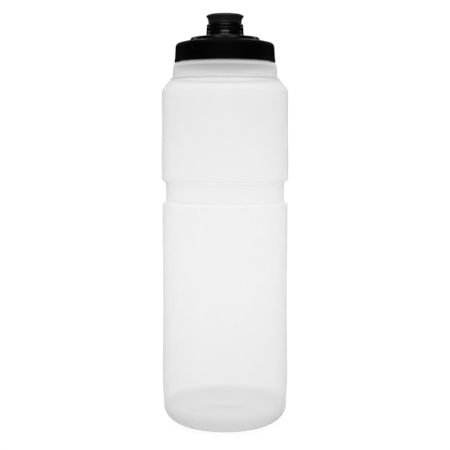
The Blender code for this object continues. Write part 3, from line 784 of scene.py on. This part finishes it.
def slider_outline():
    """Nipple, collar, stem with its stop bead and seal groove, and the bore through it all."""
    groove_top = SPOUT_SEAL_Z + SPOUT_SEAL_GROOVE_HALF_WIDTH
    groove_bottom = SPOUT_SEAL_Z - SPOUT_SEAL_GROOVE_HALF_WIDTH
    return rounded(
        [
            (NIPPLE_LIP_R, NIPPLE_TOP, CRISP_EDGE),
            (NIPPLE_R, NIPPLE_TOP, EASED_EDGE),
            (NIPPLE_R, COLLAR_TOP, TIGHT_EDGE),
            (COLLAR_R, COLLAR_TOP, COLLAR_EDGE),
            (COLLAR_R, COLLAR_BOTTOM, CRISP_EDGE),
            (STEM_R, COLLAR_BOTTOM, SMALL_EDGE),
            (STEM_R, STOP_BEAD_TOP, TIGHT_EDGE),
            (STOP_BEAD_R, STOP_BEAD_TOP - STOP_BEAD_SLOPE, CRISP_EDGE),
            (STOP_BEAD_R, STOP_BEAD_TOP - STOP_BEAD_HEIGHT + STOP_BEAD_SLOPE, CRISP_EDGE),
            (STEM_R, STOP_BEAD_TOP - STOP_BEAD_HEIGHT, TIGHT_EDGE),
            (STEM_R, groove_top, TIGHT_EDGE),
            (SPOUT_SEAL_GROOVE_R, groove_top, TIGHT_EDGE),
            (SPOUT_SEAL_GROOVE_R, groove_bottom, TIGHT_EDGE),
            (STEM_R, groove_bottom, TIGHT_EDGE),
            (STEM_R, STEM_BOTTOM, 0.35),
            (STEM_BORE_R, STEM_BOTTOM, SMALL_EDGE),
            (STEM_BORE_R, NIPPLE_ROOF, 0.5),
            (NIPPLE_LIP_R, NIPPLE_LIP_BOTTOM, TIGHT_EDGE),
        ],
        steps=5,
    )


def mouthpiece_outline():
    """Foot, waist, flared lip, dished top, outlet and the bore that fits over the nipple."""
    outline = rounded(
        [
            (MOUTHPIECE_BORE_R, MOUTHPIECE_BOTTOM),
            (MOUTHPIECE_FOOT_R, MOUTHPIECE_BOTTOM, SMALL_EDGE),
            MOUTHPIECE_WAIST,
        ],
        closed=False,
    )
    outline += flare(MOUTHPIECE_WAIST, MOUTHPIECE_LIP, 16)
    crown = (MOUTHPIECE_LIP[0] - MOUTHPIECE_TOP_R, MOUTHPIECE_TOP - MOUTHPIECE_LIP[1])
    outline += arc((MOUTHPIECE_TOP_R, MOUTHPIECE_LIP[1]), crown, 0, 90, 14)[1:]
    outline += rounded(
        [
            outline[-1],
            (*OUTLET_DISH[0], 3.0),
            (*OUTLET_DISH[1], SOFT_EDGE),
            (OUTLET_R, OUTLET_TOP, SOFT_EDGE),
            (OUTLET_R, MOUTHPIECE_CEILING, TIGHT_EDGE),
            (MOUTHPIECE_BORE_R, MOUTHPIECE_CEILING, SOFT_EDGE),
            (MOUTHPIECE_BORE_R, MOUTHPIECE_BOTTOM),
        ],
        closed=False,
    )[1:-1]
    return outline


def make_spout(slider_material, soft_material):
    angles = columns(SMALL_COLUMNS)
    mesh = turned_mesh("slider", slider_outline(), angles)
    slider = piece("spout_slider_fine", mesh, slider_material, "spout", "valve_black", "spout_slider")
    mesh = turned_mesh("soft", mouthpiece_outline(), angles)
    soft = piece("mouthpiece_fine", mesh, soft_material, "spout", "mouthpiece_grey", "mouthpiece")
    return slider, soft


# ---------------------------------------------------------------- seals


def make_seals(material):
    ring = arc((SPOUT_SEAL_R, SPOUT_SEAL_Z), (SEAL_SECTION_R, SEAL_SECTION_R), 0, 360, 16)[:-1]
    mesh = turned_mesh("spout_ring", ring, columns(RING_COLUMNS))
    piece("spout_o_ring_fine", mesh, material, "spout", "seal_rubber", "spout_o_ring")
    ring = arc((BASE_SEAL_R, (CAP_SEAT_Z + DISC_BOTTOM) / 2), (SEAL_SECTION_R,) * 2, 0, 360, 16)[:-1]
    mesh = turned_mesh("base_ring", ring, columns(SMALL_COLUMNS))
    piece("valve_base_seal_fine", mesh, material, "cap", "seal_rubber", "valve_base_seal")
    low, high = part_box("cap_gasket")
    inner, outer = GASKET_R
    bottom, top = low.z / MM, high.z / MM
    corners = [(inner, bottom), (outer, bottom), (outer, top), (inner, top)]
    corners = [(*corner, SMALL_EDGE) for corner in corners]
    mesh = turned_mesh("gasket", rounded(corners), columns(CAP_COLUMNS))
    piece("cap_gasket_fine", mesh, material, "gasket", "seal_rubber", "cap_gasket")


# ---------------------------------------------------------------- materials


class Nodes:
    """A new material's node tree, with short calls for its usual nodes."""

    def __init__(self, name):
        self.material = bpy.data.materials.new(name)
        self.material.use_nodes = True
        self.tree = self.material.node_tree
        self.tree.nodes.clear()
        self.output = self.add("ShaderNodeOutputMaterial")
        self.coordinates = self.add("ShaderNodeTexCoord").outputs["Object"]

    def add(self, kind, **settings):
        node = self.tree.nodes.new(kind)
        for name, value in settings.items():
            setattr(node, name, value)
        return node

    def feed(self, socket, value):
        if isinstance(value, bpy.types.NodeSocket):
            self.tree.links.new(value, socket)
        elif value is not None:
            socket.default_value = value

    def math(self, operation, first, second=None, third=None):
        node = self.add("ShaderNodeMath", operation=operation)
        for socket, value in zip(node.inputs, (first, second, third)):
            self.feed(socket, value)
        return node.outputs[0]

    def stretched(self, scale):
        node = self.add("ShaderNodeMapping")
        self.feed(node.inputs["Vector"], self.coordinates)
        node.inputs["Scale"].default_value = scale
        return node.outputs["Vector"]

    def noise(self, scale, detail=2.0, rough=0.5, vector=None):
        node = self.add("ShaderNodeTexNoise")
        self.feed(node.inputs["Vector"], vector or self.coordinates)
        node.inputs["Scale"].default_value = scale
        node.inputs["Detail"].default_value = detail
        node.inputs["Roughness"].default_value = rough
        return node.outputs["Fac"]

    def spread(self, value, low, high, out_low, out_high):
        """A smooth change from out_low to out_high, as the value goes from low to high."""
        node = self.add("ShaderNodeMapRange", interpolation_type="SMOOTHSTEP")
        self.feed(node.inputs["Value"], value)
        limits = {"From Min": low, "From Max": high, "To Min": out_low, "To Max": out_high}
        for name, number in limits.items():
            node.inputs[name].default_value = number
        return node.outputs["Result"]

    def band(self, value, start, full, full_end, end, level):
        """A level between full and full_end that fades to nothing at start and end."""
        rise = self.spread(value, start, full, 0.0, level)
        return self.math("MULTIPLY", rise, self.spread(value, full_end, end, 1.0, 0.0))

    def bump(self, height, distance, strength=1.0, normal=None):
        node = self.add("ShaderNodeBump")
        self.feed(node.inputs["Height"], height)
        node.inputs["Distance"].default_value = distance
        node.inputs["Strength"].default_value = strength
        self.feed(node.inputs["Normal"], normal)
        return node.outputs["Normal"]


def height_of(nodes):
    """Height above the standing plane in metres, which is the node's own Z on the bottle."""
    split = nodes.add("ShaderNodeSeparateXYZ")
    nodes.feed(split.inputs[0], nodes.coordinates)
    return split.outputs["Z"]


def frosted_outside():
    """Translucent polyethylene: a scattering skin, more of it seen at a slant, over what shows through,
    with painted shade in its colour.
    """
    nodes = Nodes("frosted_polyethylene")
    height = height_of(nodes)
    cloud = nodes.noise(CLOUD_SCALE, 3.0)
    streaks = nodes.noise(STREAK_SCALE, vector=nodes.stretched(STREAK_STRETCH))
    density = THINNEST_HAZE
    for layer in EXTRA_HAZE:
        density = nodes.math("ADD", nodes.spread(height, *layer), density)
    density = nodes.math("ADD", nodes.band(height, *CREASE_HAZE), density)
    uneven = nodes.math("MULTIPLY_ADD", cloud, CLOUD_SHARE, 1.0 - (CLOUD_SHARE + STREAK_SHARE) / 2)
    uneven = nodes.math("MULTIPLY_ADD", streaks, STREAK_SHARE, uneven)
    density = nodes.math("MULTIPLY", density, uneven)
    facing = nodes.add("ShaderNodeLayerWeight")
    facing.inputs["Blend"].default_value = BEND_BLEND
    cosine = nodes.math("SUBTRACT", 1.0, facing.outputs["Facing"])
    cosine = nodes.math("MAXIMUM", cosine, LEAST_COSINE)
    slant = nodes.math("ADD", nodes.math("DIVIDE", SLANT_SHARE, cosine), 1.0 - SLANT_SHARE)
    path = nodes.math("MULTIPLY", density, slant)
    clear_share = nodes.math("EXPONENT", nodes.math("MULTIPLY", path, -1.0))
    haze = nodes.noise(HAZE_SCALE)
    satin = nodes.bump(haze, HAZE_DEPTH, 0.5)
    satin = nodes.bump(cloud, CLOUD_DEPTH, 0.2, satin)
    # painted shade over the heel, darker towards the standing plane
    heel = nodes.spread(height, *HEEL_FADE, HEEL_PAINTED_SHADE, 1.0)
    floor_line = nodes.spread(height, *FLOOR_LINE, FLOOR_LINE_TONE, 1.0)
    # painted shade at the heel, over the shoulder and in the crease under the neck, multiplied into the
    # skin's colour
    shade = nodes.math("MULTIPLY", nodes.math("MULTIPLY", heel, floor_line), tone_and_painted_shade(nodes, height))
    roughness = nodes.spread(haze, *NOISE_MIDDLE, *OUTSIDE_ROUGHNESS)
    return polyethylene(nodes, clear_share, satin, roughness, shade)


def tone_and_painted_shade(nodes, height):
    """Brightness by height, all multiplied: darker towards the foot of the lower barrel and the top of the
    upper barrel, painted shade over the shoulder, and darkest, painted shade, in the crease under the neck.
    """
    tone = nodes.spread(height, *TONES_AND_PAINTED_SHADE[0])
    for layer in TONES_AND_PAINTED_SHADE[1:]:
        tone = nodes.math("MULTIPLY", tone, nodes.spread(height, *layer))
    return tone


def frosted_inside():
    """The smooth inside of the wall: a faint veil, the thick floor that starts at a clear line, and painted
    shade of the cap inside the neck.
    """
    nodes = Nodes("frosted_polyethylene_inside")
    height = height_of(nodes)
    cloud = nodes.noise(CLOUD_SCALE, 3.0)
    satin = nodes.bump(cloud, CLOUD_DEPTH, 0.2)
    floor = nodes.spread(height, *FLOOR_LINE, FLOOR_HAZE, 0.0)
    throat = nodes.spread(height, *THROAT_HAZE)
    path = nodes.math("ADD", floor, nodes.spread(cloud, 0.2, 0.8, *INSIDE_VEIL))
    path = nodes.math("ADD", path, throat)
    clear_share = nodes.math("EXPONENT", nodes.math("MULTIPLY", path, -1.0))
    shade = nodes.spread(height, *FLOOR_LINE, FLOOR_TONE, 1.0)
    # painted shade of the cap's shadow inside the neck
    shade = nodes.math("MULTIPLY", shade, nodes.spread(height, *THROAT_PAINTED_SHADE))
    roughness = nodes.spread(cloud, *NOISE_MIDDLE, *INSIDE_ROUGHNESS)
    return polyethylene(nodes, clear_share, satin, roughness, shade)


def polyethylene(nodes, clear_share, normal, roughness, shade):
    """Milky plastic, lit from both sides, mixed with a straight view through it."""
    tint = nodes.add("ShaderNodeCombineColor")
    for channel in tint.inputs:
        nodes.feed(channel, nodes.math("MULTIPLY", shade, PLASTIC_WHITE))
    skin = nodes.add("ShaderNodeBsdfPrincipled")
    nodes.feed(skin.inputs["Base Color"], tint.outputs[0])
    nodes.feed(skin.inputs["Roughness"], roughness)
    nodes.feed(skin.inputs["IOR"], PLASTIC_IOR)
    nodes.feed(skin.inputs["Normal"], normal)
    glow = nodes.add("ShaderNodeBsdfTranslucent")
    nodes.feed(glow.inputs["Color"], tint.outputs[0])
    nodes.feed(glow.inputs["Normal"], normal)
    solid = nodes.add("ShaderNodeMixShader")
    nodes.feed(solid.inputs[0], LIGHT_LET_THROUGH)
    nodes.feed(solid.inputs[1], skin.outputs[0])
    nodes.feed(solid.inputs[2], glow.outputs[0])
    see_through = nodes.add("ShaderNodeBsdfTransparent")
    whole = nodes.add("ShaderNodeMixShader")
    nodes.feed(whole.inputs[0], clear_share)
    nodes.feed(whole.inputs[1], solid.outputs[0])
    nodes.feed(whole.inputs[2], see_through.outputs[0])
    nodes.feed(nodes.output.inputs["Surface"], whole.outputs[0])
    return nodes.material


def black_material(name, colour, roughness, level, grain_scale, grain_depth):
    """Moulded black plastic or rubber: a fine grain, with slow changes of gloss over it."""
    nodes = Nodes(name)
    grain = nodes.noise(grain_scale, 3.0, 0.6)
    patches = nodes.noise(PATCH_SCALE, 3.0)
    shader = nodes.add("ShaderNodeBsdfPrincipled")
    blend = nodes.add("ShaderNodeMix")
    blend.data_type = "RGBA"
    nodes.feed(blend.inputs[0], patches)
    for socket, shade in zip(blend.inputs[6:8], PATCH_SHADES):
        nodes.feed(socket, (*[c * shade for c in colour], 1.0))
    nodes.feed(shader.inputs["Base Color"], blend.outputs[2])
    roughnesses = [roughness + change for change in PATCH_GLOSS]
    nodes.feed(shader.inputs["Roughness"], nodes.spread(patches, *NOISE_MIDDLE, *roughnesses))
    nodes.feed(shader.inputs["Specular IOR Level"], level)
    nodes.feed(shader.inputs["Normal"], nodes.bump(grain, grain_depth, 0.6))
    nodes.feed(nodes.output.inputs["Surface"], shader.outputs[0])
    return nodes.material


# ---------------------------------------------------------------- studio


def area_light(name, location, target, size, power):
    light = bpy.data.lights.new(name, "AREA")
    light.shape = "RECTANGLE"
    light.size, light.size_y = size
    light.energy = power
    made = bpy.data.objects.new(name, light)
    bpy.context.collection.objects.link(made)
    made.location = location
    made.rotation_euler = (Vector(target) - Vector(location)).to_track_quat("-Z", "Y").to_euler()
    return made


def sun_light(name, direction, spread, strength):
    light = bpy.data.lights.new(name, "SUN")
    light.energy = strength
    light.angle = math.radians(spread)
    made = bpy.data.objects.new(name, light)
    bpy.context.collection.objects.link(made)
    made.rotation_euler = Vector(direction).to_track_quat("-Z", "Y").to_euler()
    return made


def softbox(name, azimuth, elevation, size, brightness):
    """A box that only shows as a highlight. Azimuth 0 is in front of the bottle, on -Y."""
    a, e = math.radians(azimuth), math.radians(elevation)
    away = Vector((math.sin(a) * math.cos(e), -math.cos(a) * math.cos(e), math.sin(e)))
    target = Vector(BOX_TARGET)
    place = target + BOX_DISTANCE * away
    made = area_light(name, place, target, size, brightness * math.pi * size[0] * size[1])
    made.visible_diffuse = False
    made.visible_transmission = False
    return made


def make_studio():
    mesh = bpy.data.meshes.new("floor")
    corners = [(-FLOOR_REACH, -FLOOR_REACH), (FLOOR_REACH, -FLOOR_REACH)]
    corners += [(FLOOR_REACH, FLOOR_REACH), (-FLOOR_REACH, FLOOR_REACH)]
    mesh.from_pydata([(x, y, 0.0) for x, y in corners], [], [(0, 1, 2, 3)])
    floor = bpy.data.objects.new("floor", mesh)
    bpy.context.collection.objects.link(floor)
    floor.location.z = -FLOOR_DROP
    floor.visible_glossy = False
    nodes = Nodes("floor_white")
    shader = nodes.add("ShaderNodeBsdfPrincipled")
    nodes.feed(shader.inputs["Base Color"], (FLOOR_WHITE, FLOOR_WHITE, FLOOR_WHITE, 1.0))
    nodes.feed(shader.inputs["Roughness"], 1.0)
    nodes.feed(shader.inputs["Specular IOR Level"], 0.0)
    nodes.feed(shader.inputs["Emission Color"], (1.0, 1.0, 1.0, 1.0))
    nodes.feed(shader.inputs["Emission Strength"], FLOOR_GLOW)
    nodes.feed(nodes.output.inputs["Surface"], shader.outputs[0])
    mesh.materials.append(nodes.material)

    world = bpy.data.worlds.new("studio")
    bpy.context.scene.world = world
    world.use_nodes = True
    tree = world.node_tree
    tree.nodes.clear()
    out = tree.nodes.new("ShaderNodeOutputWorld")
    seen = tree.nodes.new("ShaderNodeBackground")
    seen.inputs["Color"].default_value = (1, 1, 1, 1)
    seen.inputs["Strength"].default_value = FLOOR_LEVEL
    lit = tree.nodes.new("ShaderNodeBackground")
    lit.inputs["Color"].default_value = (1, 1, 1, 1)
    lit.inputs["Strength"].default_value = WORLD_LIGHT
    path = tree.nodes.new("ShaderNodeLightPath")
    mix = tree.nodes.new("ShaderNodeMixShader")
    tree.links.new(path.outputs["Is Camera Ray"], mix.inputs[0])
    tree.links.new(lit.outputs[0], mix.inputs[1])
    tree.links.new(seen.outputs[0], mix.inputs[2])
    tree.links.new(mix.outputs[0], out.inputs["Surface"])
    world.cycles_visibility.glossy = False

    overhead = sun_light("overhead", (0.0, 0.0, -1.0), OVERHEAD_SPREAD, OVERHEAD_LIGHT)
    overhead.visible_glossy = False
    for name, settings in SOFTBOXES.items():
        softbox(name, *settings)
    bpy.context.scene.view_settings.view_transform = "Standard"


def make_camera():
    data = bpy.data.cameras.new("camera")
    data.lens = LENS
    data.sensor_width = SENSOR_WIDTH
    data.clip_start = CLIP_START
    data.clip_end = CLIP_END
    camera = bpy.data.objects.new("camera", data)
    bpy.context.collection.objects.link(camera)
    camera.location = (0.0, -EYE_DISTANCE, EYE_HEIGHT)
    camera.rotation_euler = (math.radians(90 + EYE_PITCH), 0.0, 0.0)
    bpy.context.scene.camera = camera


def main():
    finishes = [black_material(name, *settings) for name, settings in FINISHES.items()]
    cap_black, valve_black, soft, rubber = finishes
    make_bottle_body(frosted_outside(), frosted_inside())
    make_screw_cap(cap_black)
    make_valve_base(valve_black)
    make_spout(valve_black, soft)
    make_seals(rubber)
    make_studio()
    make_camera()


main()
